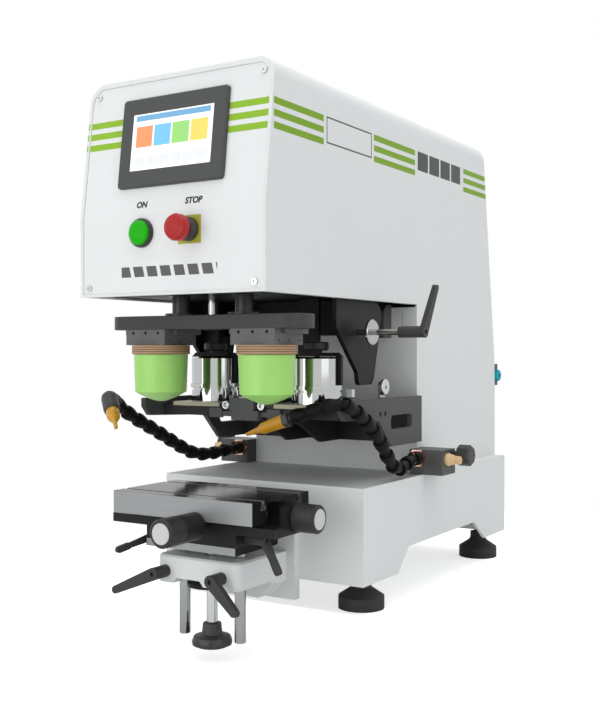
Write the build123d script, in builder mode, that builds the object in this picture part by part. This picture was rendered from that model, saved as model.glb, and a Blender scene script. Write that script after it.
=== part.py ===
from math import cos, radians, sin
import os

from build123d import *

# Two-colour closed-cup pad printing machine, in millimetres.
# Z is up, X runs to the operator's right and Y runs away from the operator.
# The origin is on the bench, midway between the levelling feet.

# Clearances
GAP = 0.3
RUNNING = 0.05

# Housing
HEAD_HALF = 178.0
HEAD_FRONT = -574.5
HEAD_BOTTOM = 518.0
HEAD_TOP = 860.5
FOLD_Z = 643.0
LEAN = 27.0
SKIN = 3.0
BACK = 308.5
BACK_TOP = 262.0
BACK_FOLD_Z = 540.0
COLUMN_FRONT = -78.5
TOP_ROUND = 30.0

# Base
BASE_HALF = 203.0
BASE_FRONT = -329.5
BASE_BACK = 300.5
BASE_TOP = 211.0
BASE_BOTTOM = 52.0
ARCH_Z = 92.0
PLATE = 6.0

# Levelling feet
FOOT_X = 160.0
FOOT_Y = 257.5
FOOT_R = 39.0

# Front panel
PANEL_HALF = 172.0
PANEL_LOW = 522.5
PANEL_HIGH = 852.5
PANEL_ROUND = 24.0
PANEL_THICK = 3.0
PANEL_SET_BACK = 1.5

# Pads, cups and the carriage stroke
PAIR_X = 105.5
PAD_Y = HEAD_FRONT + 112
CUP_Y = PAD_Y + 150
CARRIAGE_TRAVEL = 95.0

# Pad bar
BAR_HALF = 187.5
BAR_SHIFT = -4.0
BAR_DEPTH = 76.0
BAR_LOW = 467.5
BAR_HIGH = 489.5
GUIDE_X = 63.0
GUIDE_R = 14.5
GUIDE_TOP = 690.0
PISTON_ROD_R = 6.0

# Ink cups
CUP_R = 42.0
CUP_LOW = 376.0
CUP_HIGH = 423.0
PLATE_TOP = 344.5

# Cross-slide table
LIFT_Y = PAD_Y
ROD_X = 55.0
ROD_R = 9.0
ROD_LOW = -26.0
LIFT_PLATE_HALF = 87.5
TABLE_TOP = 209.5
TABLE_LOW = 175.0
TABLE_HALF = 135.5
TABLE_FRONT = LIFT_Y - 82.5
TABLE_BACK = LIFT_Y + 75.5
SADDLE_HALF = 158.0
SADDLE_FRONT = LIFT_Y - 58
SADDLE_BACK = LIFT_Y + 58
SADDLE_LOW = 155.0
SADDLE_TOP = 169.0
KNOB_R = 22.0
Y_KNOB_X = 29.5
Y_KNOB_Z = 167.0
X_KNOB_Y = LIFT_Y + 4
X_KNOB_Z = 179.5
SPINDLE_END = 112.0
SPINDLE_HALF = 12.5
SPINDLE_TOP = 198.0
RECESS_END = 82.0
KNEE_HALF = 80.0
KNEE_FRONT = LIFT_Y - 42.5
KNEE_LOW = 64.0
KNEE_TOP = 107.5

# Printing-plate bed
BED_FRONT = CUP_Y - 56
BED_BACK = COLUMN_FRONT - 40
BED_LOW = 322.0
BED_TOP = 337.7
BED_HALF = 177.6

# Carriage under the head, on two rails below a deck
CARRIAGE_LOW = 521.0
CARRIAGE_TOP = 529.0
CARRIAGE_FRONT = PAD_Y - 82.5
RAIL_X = 120.0
RAIL_HALF = 7.5
RAIL_LOW = 542.0
RUNNER_HALF = 17.0
RUNNER_LENGTH = 60.0
RUNNER_TOP = 553.0
DECK_LOW = 556.0
DECK_TOP = 562.0
CYLINDER_TOP = 720.0
CYLINDER_WALL = 4.0
BORE_R = 20.0

# Cross shaft on the hanger plates
SHAFT_Y = CUP_Y + 47
SHAFT_Z = 464.0
HANGER_IN = 150.0
HANGER_OUT = 158.0

# Air inlet on the housing's back
INLET_X = 156.0
INLET_Z = 380.0

# Air line
HOSE_R = 12.5
LINK = 32.0
BLOCK_IN = 178.3
BLOCK_OUT = 242.0
BLOCK_TOP = 256.0
BLOCK_FRONT = -109.5
BLOCK_BACK = -52.5
ELBOW_Y = -60.0
ELBOW_Z = 245.0
HOSE_X = 195.0
HOSE_Z = 241.0


def slab(x0, x1, y0, y1, z0, z1, mode=Mode.ADD, corner=0.0):
    """A box between two corners, with its upright edges rounded by corner."""
    with BuildSketch(Plane.XY.offset(z0)) as sketch:
        with Locations(((x0 + x1) / 2, (y0 + y1) / 2)):
            if corner:
                RectangleRounded(x1 - x0, y1 - y0, corner)
            else:
                Rectangle(x1 - x0, y1 - y0)
    extrude(sketch.sketch, amount=z1 - z0, mode=mode)


def rod(start, end, radius, mode=Mode.ADD, end_radius=None):
    """A round bar, or a cone, from one point to another."""
    way = Vector(*end) - Vector(*start)
    with BuildSketch(Plane(origin=start, z_dir=way)) as near:
        Circle(radius)
    if end_radius is None:
        extrude(near.sketch, amount=way.length, mode=mode)
        return
    with BuildSketch(Plane(origin=end, z_dir=way)) as far:
        Circle(end_radius)
    loft([near.sketch, far.sketch], mode=mode)


def side_shape(points, x0, x1, mode=Mode.ADD):
    """An outline of (Y, Z) points that runs from x0 to x1."""
    with BuildSketch(Plane.YZ.offset(x0)) as sketch:
        Polygon(*points, align=None)
    extrude(sketch.sketch, amount=x1 - x0, mode=mode)


def front_shape(points, y0, y1, mode=Mode.ADD):
    """An outline of (X, Z) points that runs from y0 to y1."""
    with BuildSketch(Plane.XZ.offset(-y1)) as sketch:
        Polygon(*points, align=None)
    extrude(sketch.sketch, amount=y1 - y0, mode=mode)


def turned(points, origin, way, mode=Mode.ADD):
    """A turned shape of (radius, height) points about the line from origin along way."""
    axis = Axis(origin, way)
    outward = Plane(origin=origin, z_dir=way).x_dir
    across = Plane(origin=origin, x_dir=outward, z_dir=outward.cross(axis.direction))
    with BuildSketch(across) as sketch:
        Polygon(*points, align=None)
    revolve(sketch.sketch, axis=axis, mode=mode)


def lever(hub_start, hub_end, tip, radius, tip_radius, thick, arm_half=None):
    """A clamping lever: a round hub with a hexagon socket, and a flat arm from its outer end to a round tip.

    With arm_half the arm is that narrow to each side as far as a wider grip, which takes its outer part.
    """
    way = (Vector(*hub_end) - Vector(*hub_start)).normalized()
    root = Vector(*hub_end) - way * thick / 2
    reach = Vector(*tip) - root
    arm = Plane(origin=root, x_dir=reach, z_dir=reach.cross(way).cross(reach))
    rod(hub_start, hub_end, radius)
    with BuildSketch(arm.offset(-thick / 2)) as outline:
        Circle(radius)
        with Locations((reach.length, 0)):
            Circle(arm_half or tip_radius)
        make_hull()
    extrude(outline.sketch, amount=thick)
    if arm_half:
        with BuildSketch(arm.offset(-thick / 2)) as grip:
            with Locations((reach.length * 0.7, 0), (reach.length, 0)):
                Circle(tip_radius)
            make_hull()
        extrude(grip.sketch, amount=thick)
    with BuildSketch(Plane(origin=Vector(*hub_end) + way, z_dir=way)) as socket:
        RegularPolygon(radius * 0.42, 6)
    extrude(socket.sketch, amount=-thick / 2, mode=Mode.SUBTRACT)


def panel_outline(grow):
    """The front panel's outline with rounded upper corners, grown by grow all round, on the current sketch."""
    half = PANEL_HALF + grow
    low = PANEL_LOW - grow
    high = PANEL_HIGH + grow
    Polygon((-half, low), (half, low), (half, high), (-half, high), align=None)
    fillet(vertices().group_by(Axis.Y)[-1], PANEL_ROUND + grow)


def save(builder, name):
    """Names the piece and writes its file."""
    builder.part.label = name
    export_step(builder.part, f"parts/{name}.step")


os.makedirs("parts", exist_ok=True)


# Base: a folded box, open below, with arched side plates
with BuildPart() as base:
    foot_line = [
        (BASE_FRONT, BASE_BOTTOM), (-204.5, BASE_BOTTOM), (-163.5, ARCH_Z), (132.5, ARCH_Z),
        (188.5, BASE_BOTTOM), (BASE_BACK, BASE_BOTTOM), (BASE_BACK, BASE_TOP), (BASE_FRONT, BASE_TOP),
    ]
    side_shape(foot_line, -BASE_HALF, BASE_HALF)
    slab(-BASE_HALF + PLATE, BASE_HALF - PLATE, BASE_FRONT + PLATE, BASE_BACK - PLATE,
         0, BASE_TOP - PLATE, Mode.SUBTRACT)
    for x in (-FOOT_X, FOOT_X):
        for y in (-FOOT_Y, FOOT_Y):
            wall = (BASE_HALF - 1) * (1 if x > 0 else -1)
            slab(min(x * 0.8, wall), max(x * 0.8, wall), y - 30, y + 30, BASE_BOTTOM + 8, BASE_BOTTOM + 18)
            slab(min(x, 0) * 1.24, max(x, 0) * 1.24, y - 3, y + 3, BASE_BOTTOM + 40, BASE_TOP - PLATE)
            rod((x, y, BASE_BOTTOM), (x, y, BASE_BOTTOM + 30), 8.3, Mode.SUBTRACT)
save(base, "base")

# Feet: moulded discs, and their studs with lock nuts
with BuildPart() as feet:
    for x in (-FOOT_X, FOOT_X):
        for y in (-FOOT_Y, FOOT_Y):
            turned([(0, 0), (FOOT_R, 0), (FOOT_R, 21), (18, 35), (17, 38), (0, 38)],
                   (x, y, 0), (0, 0, 1))
            rod((x, y, 20), (x, y, 40), 8.3, Mode.SUBTRACT)
    for x in (-FOOT_X, FOOT_X):
        for y in (-FOOT_Y, FOOT_Y):
            rod((x, y, 20 + GAP), (x, y, BASE_BOTTOM + 34), 8)
            with BuildSketch(Plane.XY.offset(38)) as nut:
                with Locations((x, y)):
                    RegularPolygon(17, 6)
            extrude(nut.sketch, amount=BASE_BOTTOM - 38 - GAP)
save(feet, "feet")

# Housing: column and overhanging head in one skin, open below the head
OUTLINE = [
    (HEAD_FRONT, HEAD_BOTTOM), (HEAD_FRONT, FOLD_Z), (HEAD_FRONT + LEAN, HEAD_TOP),
    (BACK_TOP, HEAD_TOP), (BACK, BACK_FOLD_Z), (BACK, BASE_TOP), (COLUMN_FRONT, BASE_TOP),
    (COLUMN_FRONT, HEAD_BOTTOM),
]
HOLLOW = [
    (HEAD_FRONT + SKIN, HEAD_BOTTOM - 5), (HEAD_FRONT + SKIN, FOLD_Z),
    (HEAD_FRONT + LEAN + SKIN, HEAD_TOP - SKIN), (BACK_TOP - SKIN, HEAD_TOP - SKIN),
    (BACK - SKIN, BACK_FOLD_Z), (BACK - SKIN, BASE_TOP - 5), (COLUMN_FRONT + SKIN, BASE_TOP - 5),
    (COLUMN_FRONT + SKIN, HEAD_BOTTOM - 5),
]
with BuildPart() as housing:
    side_shape(OUTLINE, -HEAD_HALF, HEAD_HALF)
    fillet(housing.edges().filter_by(Axis.Y).group_by(Axis.Z)[-1], TOP_ROUND)
    fillet(housing.edges().filter_by(Axis.X).group_by(Axis.Z)[-1].sort_by(Axis.Y)[-1:], 24)
    with BuildPart(mode=Mode.PRIVATE) as inside:
        side_shape(HOLLOW, -HEAD_HALF + SKIN, HEAD_HALF - SKIN)
        fillet(inside.edges().filter_by(Axis.Y).group_by(Axis.Z)[-1], TOP_ROUND - SKIN)
        fillet(inside.edges().filter_by(Axis.X).group_by(Axis.Z)[-1].sort_by(Axis.Y)[-1:], 21)
    add(inside.part, mode=Mode.SUBTRACT)
    # an inward lip strengthens the head's lower edge
    for side in (-1, 1):
        edge = side * (HEAD_HALF - SKIN)
        slab(min(edge, edge - side * 9), max(edge, edge - side * 9), HEAD_FRONT + 1, COLUMN_FRONT + 1,
             HEAD_BOTTOM, HEAD_BOTTOM + SKIN)
    slab(-HEAD_HALF + SKIN, HEAD_HALF - SKIN, HEAD_FRONT + 1, HEAD_FRONT + 12,
         HEAD_BOTTOM, HEAD_BOTTOM + SKIN)
    # the front opening that the panel sits in
    with BuildSketch(Plane.XZ.offset(-HEAD_FRONT - LEAN - 8)) as opening:
        panel_outline(GAP)
    extrude(opening.sketch, amount=LEAN + 13, mode=Mode.SUBTRACT)
    # the air inlet's hole and the slit in the column's front
    rod((INLET_X, BACK - 8, INLET_Z), (INLET_X, BACK + 8, INLET_Z), 8.3, Mode.SUBTRACT)
    slab(147.5, 149, COLUMN_FRONT - 2, COLUMN_FRONT + 5, 462, 506, Mode.SUBTRACT)
save(housing, "housing")

# Front panel, bent like the head's front
def panel_line(depth, low, high):
    """The panel's (Y, Z) line, depth behind the head's front, from low to high."""
    top_y = HEAD_FRONT + depth + LEAN * (high - FOLD_Z) / (HEAD_TOP - FOLD_Z)
    return [(HEAD_FRONT + depth, low), (HEAD_FRONT + depth, FOLD_Z), (top_y, high)]


LEAN_ANGLE = 7.06
SCREEN_Z = 754.5
SCREEN_Y = HEAD_FRONT + PANEL_SET_BACK + LEAN * (SCREEN_Z - FOLD_Z) / (HEAD_TOP - FOLD_Z)
SCREEN_PLANE = Plane(origin=(0, SCREEN_Y, SCREEN_Z), x_dir=(1, 0, 0),
                     z_dir=(0, -cos(radians(LEAN_ANGLE)), sin(radians(LEAN_ANGLE))))
START_X = -51.0
STOP_X = 41.5
BUTTON_Z = 613.8
SCREW_ROWS = (532.0, 839.0)


def screw_place(x, z):
    """Where a panel screw sits on the panel's face, and the way that it points."""
    if z < FOLD_Z:
        return (x, HEAD_FRONT + PANEL_SET_BACK, z), (0, 1, 0)
    y = HEAD_FRONT + PANEL_SET_BACK + LEAN * (z - FOLD_Z) / (HEAD_TOP - FOLD_Z)
    return (x, y, z), (0, cos(radians(LEAN_ANGLE)), -sin(radians(LEAN_ANGLE)))


SCREWS = [screw_place(x, z) for x in (-159.5, 159.5) for z in SCREW_ROWS]

with BuildPart() as front_panel:
    near = panel_line(PANEL_SET_BACK, PANEL_LOW, PANEL_HIGH)
    far = panel_line(PANEL_SET_BACK + PANEL_THICK, PANEL_LOW, PANEL_HIGH)
    side_shape(near + far[::-1], -PANEL_HALF, PANEL_HALF)
    with BuildSketch(Plane.XZ.offset(-HEAD_FRONT - LEAN - 8)) as opening:
        panel_outline(0)
    extrude(opening.sketch, amount=LEAN + 13, mode=Mode.INTERSECT)
    with BuildSketch(SCREEN_PLANE.offset(-12)) as window:
        Rectangle(192.6, 132.6)
    extrude(window.sketch, amount=24, mode=Mode.SUBTRACT)
    for x in (START_X, STOP_X):
        rod((x, HEAD_FRONT - 5, BUTTON_Z), (x, HEAD_FRONT + 10, BUTTON_Z), 11.3, Mode.SUBTRACT)
    for place, way in SCREWS:
        far_end = Vector(*place) + Vector(*way) * 8
        rod(Vector(*place) - Vector(*way) * 4, far_end, 2.3, Mode.SUBTRACT)
save(front_panel, "front_panel")

with BuildPart() as screws:
    for place, way in SCREWS:
        head = Vector(*place) - Vector(*way) * 0.05
        rod(head, head - Vector(*way) * 3, 5)
        rod(head, head + Vector(*way) * 9, 2)
        rod(head - Vector(*way) * 1.4, head - Vector(*way) * 3.5, 2.1, Mode.SUBTRACT)
save(screws, "panel_screws")

# Touch screen: a moulded bezel with its case behind the panel, and the glass
with BuildPart() as screen_bezel:
    with BuildSketch(SCREEN_PLANE.offset(0.05)) as face:
        RectangleRounded(203, 142, 6)
    extrude(face.sketch, amount=7)
    chamfer(screen_bezel.faces().sort_by(Axis(SCREEN_PLANE.origin, SCREEN_PLANE.z_dir))[-1].edges(), 2.2)
    with BuildSketch(SCREEN_PLANE.offset(0.05)) as case:
        Rectangle(192, 132)
    extrude(case.sketch, amount=-32)
    with BuildSketch(SCREEN_PLANE.offset(5)) as glass_seat:
        Rectangle(156, 90)
    extrude(glass_seat.sketch, amount=6, mode=Mode.SUBTRACT)
save(screen_bezel, "screen_bezel")

with BuildPart() as screen_glass:
    with BuildSketch(SCREEN_PLANE.offset(5)) as pane:
        Rectangle(155.6, 89.6)
    extrude(pane.sketch, amount=1.4)
save(screen_glass, "screen_glass")

# Start button: collar and domed lens
face_y = HEAD_FRONT + PANEL_SET_BACK - 0.05
with BuildPart() as button_collars:
    turned([(19.3, 0), (22.5, 0), (22.5, 4), (20.8, 7), (19.3, 7)], (START_X, face_y, BUTTON_Z), (0, -1, 0))
    turned([(9.3, 0), (19.6, 0), (19.6, 1.6), (9.3, 1.6)], (START_X, face_y, BUTTON_Z), (0, -1, 0))
    turned([(9.3, 0.5), (11, 0.5), (11, -34), (9.3, -34)], (START_X, face_y, BUTTON_Z), (0, -1, 0))
    turned([(9.3, 1.9), (18, 1.9), (18, 9), (14.5, 16), (9.3, 16)], (STOP_X, face_y, BUTTON_Z), (0, -1, 0))
    turned([(9.3, 2.5), (11, 2.5), (11, -34), (9.3, -34)], (STOP_X, face_y, BUTTON_Z), (0, -1, 0))
save(button_collars, "button_collars")

with BuildPart() as start_lens:
    turned([(0, 5.2), (19.0, 5.2), (19.0, 8.5), (16.5, 11.5), (8, 13.2), (0, 13.6)],
           (START_X, face_y, BUTTON_Z), (0, -1, 0))
    rod((START_X, face_y - 5.5, BUTTON_Z), (START_X, face_y + 28, BUTTON_Z), 9.2)
save(start_lens, "start_lens")

# Emergency stop: square plate, collar and mushroom head
with BuildPart() as stop_plate:
    slab(STOP_X - 21, STOP_X + 21, face_y - 1.6, face_y, BUTTON_Z - 21, BUTTON_Z + 21)
    rod((STOP_X, face_y - 5, BUTTON_Z), (STOP_X, face_y + 5, BUTTON_Z), 11.3, Mode.SUBTRACT)
save(stop_plate, "stop_plate")

with BuildPart() as stop_mushroom:
    turned([(0, 22), (17, 22), (20, 25), (20, 34), (17.5, 38.5), (10, 41), (0, 41.6)],
           (STOP_X, face_y, BUTTON_Z), (0, -1, 0))
    rod((STOP_X, face_y - 23, BUTTON_Z), (STOP_X, face_y + 20, BUTTON_Z), 9.2)
save(stop_mushroom, "stop_mushroom")

# Inner deck with a slot for the pad stroke, and the two carriage rails under it
with BuildPart() as deck:
    slab(-HEAD_HALF + SKIN + GAP, HEAD_HALF - SKIN - GAP, HEAD_FRONT + 40, COLUMN_FRONT + SKIN + 30,
         DECK_LOW, DECK_TOP)
    slab(-92, 92, PAD_Y - 32, PAD_Y + CARRIAGE_TRAVEL + 32, DECK_LOW - 1, DECK_TOP + 1, Mode.SUBTRACT)
    for side in (-1, 1):
        edge = side * (HEAD_HALF - SKIN - GAP)
        slab(min(edge, edge - side * 6), max(edge, edge - side * 6), HEAD_FRONT + 40,
             COLUMN_FRONT + SKIN + 30, DECK_LOW, DECK_TOP + 14)
    for x in (-RAIL_X, RAIL_X):
        slab(x - RAIL_HALF, x + RAIL_HALF, HEAD_FRONT + 22, COLUMN_FRONT - 3, RAIL_LOW, DECK_LOW - RUNNING)
        for side in (-1, 1):
            edge = x + side * RAIL_HALF
            slab(edge - 2, edge + 2, HEAD_FRONT + 21, COLUMN_FRONT, RAIL_LOW + 4, RAIL_LOW + 8, Mode.SUBTRACT)
save(deck, "deck_and_rails")

# Hanger plates under the head, and the shaft that crosses them
HANGER = [
    (SHAFT_Y - 73, CARRIAGE_TOP), (SHAFT_Y - 73, 471.7), (SHAFT_Y - 0.5, 396.7), (SHAFT_Y + 2.3, 381),
    (SHAFT_Y + 8.5, 375), (SHAFT_Y + 48.5, 375), (SHAFT_Y + 57.5, 386), (SHAFT_Y + 71.5, 438),
    (SHAFT_Y + 84.5, 497), (SHAFT_Y + 79.5, 509), (SHAFT_Y + 66.5, 517.7), (SHAFT_Y + 66.5, CARRIAGE_TOP),
]
with BuildPart() as hanger_plates:
    for x0 in (-HANGER_OUT, HANGER_IN):
        side_shape(HANGER, x0, x0 + HANGER_OUT - HANGER_IN)
    slab(-HANGER_IN, HANGER_IN, SHAFT_Y + 50, SHAFT_Y + 56, SHAFT_Z - 4, CARRIAGE_LOW - GAP)
    rod((-170, SHAFT_Y, SHAFT_Z), (170, SHAFT_Y, SHAFT_Z), 5.3, Mode.SUBTRACT)
save(hanger_plates, "hanger_plates")

with BuildPart() as cross_shaft:
    rod((HANGER_IN - 6, SHAFT_Y, SHAFT_Z), (HANGER_OUT + 118, SHAFT_Y, SHAFT_Z), 5)
    turned([(0, 0), (20, 0), (21.5, 1.5), (21.5, 4.5), (20, 6), (0, 6)], (181.5, SHAFT_Y, SHAFT_Z), (1, 0, 0))
save(cross_shaft, "cross_shaft")

with BuildPart() as shaft_lever:
    lever((236, SHAFT_Y, SHAFT_Z), (283, SHAFT_Y, SHAFT_Z), (290, SHAFT_Y + 21, SHAFT_Z + 72), 9.5, 5, 8)
    rod((230, SHAFT_Y, SHAFT_Z), (276.5, SHAFT_Y, SHAFT_Z), 5.05, Mode.SUBTRACT)
save(shaft_lever, "shaft_lever")

# Printing-plate bed: deck, ribs, back block and side plates
with BuildPart() as bed:
    slab(-BED_HALF, BED_HALF, BED_FRONT, BED_BACK, BED_LOW, BED_TOP)
    slab(-BED_HALF, BED_HALF, BED_BACK, COLUMN_FRONT - GAP, 268, BED_TOP)
    for x in (-35, 35):
        side_shape([(-290, BED_LOW), (-186, 268), (BED_BACK, 268), (BED_BACK, BED_LOW)], x - 4, x + 4)
    for side in (-1, 1):
        slab(side * PAIR_X - 54, side * PAIR_X - 50.3, BED_FRONT, BED_BACK, BED_TOP - 1, PLATE_TOP - 1)
        slab(side * PAIR_X + 50.3, side * PAIR_X + 54, BED_FRONT, BED_BACK, BED_TOP - 1, PLATE_TOP - 1)
save(bed, "bed")

with BuildPart() as bed_sides:
    for side in (-1, 1):
        front = -418.0 if side < 0 else BED_FRONT - 6
        outline = [
            (front, 351.5), (front, 337), (front + 14, 321), (-244.5, 314), (-198.5, 268),
            (COLUMN_FRONT + 1.5, 268), (COLUMN_FRONT + 1.5, 351.5),
        ]
        inner = side * 178.0
        side_shape(outline, min(inner, inner + side * 9), max(inner, inner + side * 9))
        with BuildSketch(Plane.YZ.offset(side * 182.5 - 10)) as slot:
            with Locations((-159.5, 309.5)):
                RectangleRounded(82, 24, 8)
        extrude(slot.sketch, amount=20, mode=Mode.SUBTRACT)
        for y in (-240, -222):
            rod((side * 190, y, 326), (side * 184, y, 326), 4.2, Mode.SUBTRACT)
save(bed_sides, "bed_sides")

with BuildPart() as printing_plates:
    for side in (-1, 1):
        slab(side * PAIR_X - 50, side * PAIR_X + 50, BED_FRONT, BED_BACK - 4, BED_TOP, PLATE_TOP)
save(printing_plates, "printing_plates")

with BuildPart() as plate_clamp:
    slab(-25, 25, BED_FRONT - 14, BED_FRONT - GAP, 333, 354, corner=1.5)
    slab(-22, 32, BED_FRONT - 12, BED_FRONT - GAP, 317, 333.5)
    slab(-48, 60, BED_FRONT - 5, BED_FRONT - GAP, 323, 331)
    for side in (-1, 1):
        slab(side * 59 - 13, side * 59 + 13, BED_FRONT - 6, BED_FRONT - GAP, 320, 336)
save(plate_clamp, "plate_clamp")

with BuildPart() as clamp_screws:
    for x in (-36, 36):
        rod((x, BED_FRONT - GAP, 341.5), (x, BED_FRONT - 9, 341.5), 6.7)
        rod((x, BED_FRONT - 5, 341.5), (x, BED_FRONT - 10, 341.5), 4.2, Mode.SUBTRACT)
    turned([(0, 0), (13, 0), (14, 1), (14, 5), (13, 6), (0, 6)], (166, -190, 370), (1, 0, 0))
    turned([(0, 0), (10.5, 0), (10.5, 5), (0, 5)], (161, -190, 370), (1, 0, 0))
    with BuildSketch(Plane.YZ.offset(173)) as socket:
        with Locations((-190, 370)):
            RegularPolygon(3.4, 6)
    extrude(socket.sketch, amount=-4, mode=Mode.SUBTRACT)
    slab(161.2, 165.8, -200, -180, BED_TOP, 366)
save(clamp_screws, "clamp_screws")

# Knee bracket on the base's front, with the bores for the lift rods and screw
with BuildPart() as knee:
    slab(-KNEE_HALF, KNEE_HALF, KNEE_FRONT, -391.5, KNEE_LOW, KNEE_TOP)
    fillet(knee.edges().filter_by(Axis.Z).group_by(Axis.Y)[0], 13)
    chamfer(knee.faces().sort_by(Axis.Z)[-1].edges(), 3)
    front_shape([(-46, KNEE_LOW - 1), (15, KNEE_LOW - 1), (7, KNEE_LOW + 8.5), (-40, KNEE_LOW + 8.5)],
                KNEE_FRONT - 1, LIFT_Y + 25, Mode.SUBTRACT)
    front_shape([(-66, 100), (66, 100), (66, 52), (42, 28), (-42, 28), (-66, 52)], -392, -345)
    slab(-82, 82, -346, BASE_FRONT - GAP, 20, 165)
    for x in (-ROD_X, ROD_X):
        rod((x, LIFT_Y, 0), (x, LIFT_Y, 140), ROD_R + RUNNING, Mode.SUBTRACT)
    rod((0, LIFT_Y, 0), (0, LIFT_Y, 140), 14.3, Mode.SUBTRACT)
save(knee, "knee")

with BuildPart() as lift_nut:
    turned([(ROD_R + RUNNING, -5), (40, -5), (40, 0), (14, 0), (14, 40), (ROD_R + RUNNING, 40)],
           (0, LIFT_Y, KNEE_LOW - GAP), (0, 0, 1))
    slab(-60, 60, LIFT_Y - 60, KNEE_FRONT + 2, 40, KNEE_LOW, Mode.SUBTRACT)
save(lift_nut, "lift_nut")

# Lift: two rods in a plate, carried by the screw
LIFT_PLATE_LOW = 122.5
LIFT_PLATE_TOP = 134.5
with BuildPart() as lift_plate:
    slab(-LIFT_PLATE_HALF, LIFT_PLATE_HALF, SADDLE_FRONT, SADDLE_BACK, LIFT_PLATE_LOW, LIFT_PLATE_TOP)
    for x in (-ROD_X, ROD_X):
        rod((x, LIFT_Y, LIFT_PLATE_LOW - 1), (x, LIFT_Y, LIFT_PLATE_TOP + 1), ROD_R + GAP, Mode.SUBTRACT)
    rod((0, LIFT_Y, LIFT_PLATE_LOW - 1), (0, LIFT_Y, LIFT_PLATE_LOW + 9), 7.3, Mode.SUBTRACT)
save(lift_plate, "lift_plate")

with BuildPart() as lift_rods:
    for x in (-ROD_X, ROD_X):
        turned([(0, ROD_LOW), (ROD_R - 1, ROD_LOW), (ROD_R, ROD_LOW + 1), (ROD_R, 134), (0, 134)],
               (x, LIFT_Y, 0), (0, 0, 1))
        turned([(ROD_R - 1, 116.5), (15, 116.5), (15, 122.2), (ROD_R - 1, 122.2)], (x, LIFT_Y, 0), (0, 0, 1))
save(lift_rods, "lift_rods")

with BuildPart() as lift_screw:
    turned([(0, -39), (25, -39), (31.5, -36), (32.5, -30.5), (29.5, -23), (20, -20), (16.5, -19), (14.8, -2),
            (ROD_R, -2), (ROD_R, 120.5), (7, 120.5), (7, 130.5), (0, 130.5)],
           (0, LIFT_Y, 0), (0, 0, 1))
    for n in range(7):
        turn = radians(360 / 7 * n)
        x = 37 * cos(turn)
        y = LIFT_Y + 37 * sin(turn)
        rod((x, y, -50), (x, y, -15), 8, Mode.SUBTRACT)
save(lift_screw, "lift_screw")

# Lower slide, saddle and cross table
with BuildPart() as lower_slide:
    slab(-LIFT_PLATE_HALF, LIFT_PLATE_HALF, SADDLE_FRONT + 1, SADDLE_BACK - 1,
         LIFT_PLATE_TOP + GAP / 2, SADDLE_LOW - GAP / 2)
save(lower_slide, "lower_slide")

with BuildPart() as saddle:
    slab(-SADDLE_HALF, SADDLE_HALF, SADDLE_FRONT, SADDLE_BACK, SADDLE_LOW, SADDLE_TOP)
    front_shape([(-70, SADDLE_TOP - 1), (70, SADDLE_TOP - 1), (70, SADDLE_TOP), (80, TABLE_LOW + 10),
                 (-80, TABLE_LOW + 10), (-70, SADDLE_TOP)], SADDLE_FRONT + 8, SADDLE_BACK - 8)
    slab(147.2, SADDLE_HALF, SADDLE_FRONT + 30, SADDLE_BACK - 25, SADDLE_TOP - 1, SPINDLE_TOP)
    slab(SPINDLE_END, SADDLE_HALF, X_KNOB_Y - SPINDLE_HALF, X_KNOB_Y + SPINDLE_HALF, SADDLE_TOP - 1, SPINDLE_TOP)
    rod((140, X_KNOB_Y, X_KNOB_Z), (170, X_KNOB_Y, X_KNOB_Z), 6.3, Mode.SUBTRACT)
    rod((Y_KNOB_X, TABLE_FRONT - 0.5, Y_KNOB_Z), (Y_KNOB_X, SADDLE_FRONT + 4, Y_KNOB_Z), 7)
    turned([(5.3, 0), (KNOB_R - 1, 0), (KNOB_R - 0.5, 1), (KNOB_R - 0.5, 43), (KNOB_R - 1.5, 44), (5.3, 44)],
           (Y_KNOB_X, TABLE_FRONT - 44.5, Y_KNOB_Z), (0, 1, 0))
    rod((Y_KNOB_X, TABLE_FRONT - 50, Y_KNOB_Z), (Y_KNOB_X, SADDLE_FRONT + 25, Y_KNOB_Z), 5.3, Mode.SUBTRACT)
save(saddle, "saddle")

with BuildPart() as table_top:
    slab(-TABLE_HALF, TABLE_HALF, TABLE_FRONT, TABLE_BACK, TABLE_LOW, TABLE_TOP)
    # a dovetail below and two T-slots above
    front_shape([(-95.3, TABLE_LOW - 1), (95.3, TABLE_LOW - 1), (105, TABLE_LOW + 10.5),
                 (-105, TABLE_LOW + 10.5)], SADDLE_FRONT - 2, SADDLE_BACK + 2, Mode.SUBTRACT)
    for y in (TABLE_FRONT + 28, TABLE_BACK - 28):
        slab(-TABLE_HALF - 1, TABLE_HALF + 1, y - 3.5, y + 3.5, TABLE_TOP - 7, TABLE_TOP + 1, Mode.SUBTRACT)
        slab(-TABLE_HALF - 1, TABLE_HALF + 1, y - 7, y + 7, TABLE_TOP - 14, TABLE_TOP - 7, Mode.SUBTRACT)
    chamfer(table_top.edges().filter_by(Axis.Z), 0.8)
    # the right end is open below the top, round the spindle's housing
    slab(RECESS_END, TABLE_HALF + 1, TABLE_FRONT + 38, TABLE_BACK - 38, TABLE_LOW - 1, TABLE_TOP - 4, Mode.SUBTRACT)
save(table_top, "table_top")


def knob_shape(origin, way, length, spindle):
    """A round hand knob with a flat inset cap and a spindle behind it."""
    start = Vector(*origin)
    aim = Vector(*way)
    turned([(0, 0), (KNOB_R - 1, 0), (KNOB_R, 1), (KNOB_R, length - 2.5), (KNOB_R - 2.5, length),
            (KNOB_R - 6, length), (KNOB_R - 6, length - 0.8), (0, length - 0.8)], start, way)
    rod(start + aim * 2, start - aim * spindle, 5)


with BuildPart() as y_knob:
    knob_shape((Y_KNOB_X, TABLE_FRONT - 45, Y_KNOB_Z), (0, -1, 0), 36, 22)
save(y_knob, "y_knob")

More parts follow.
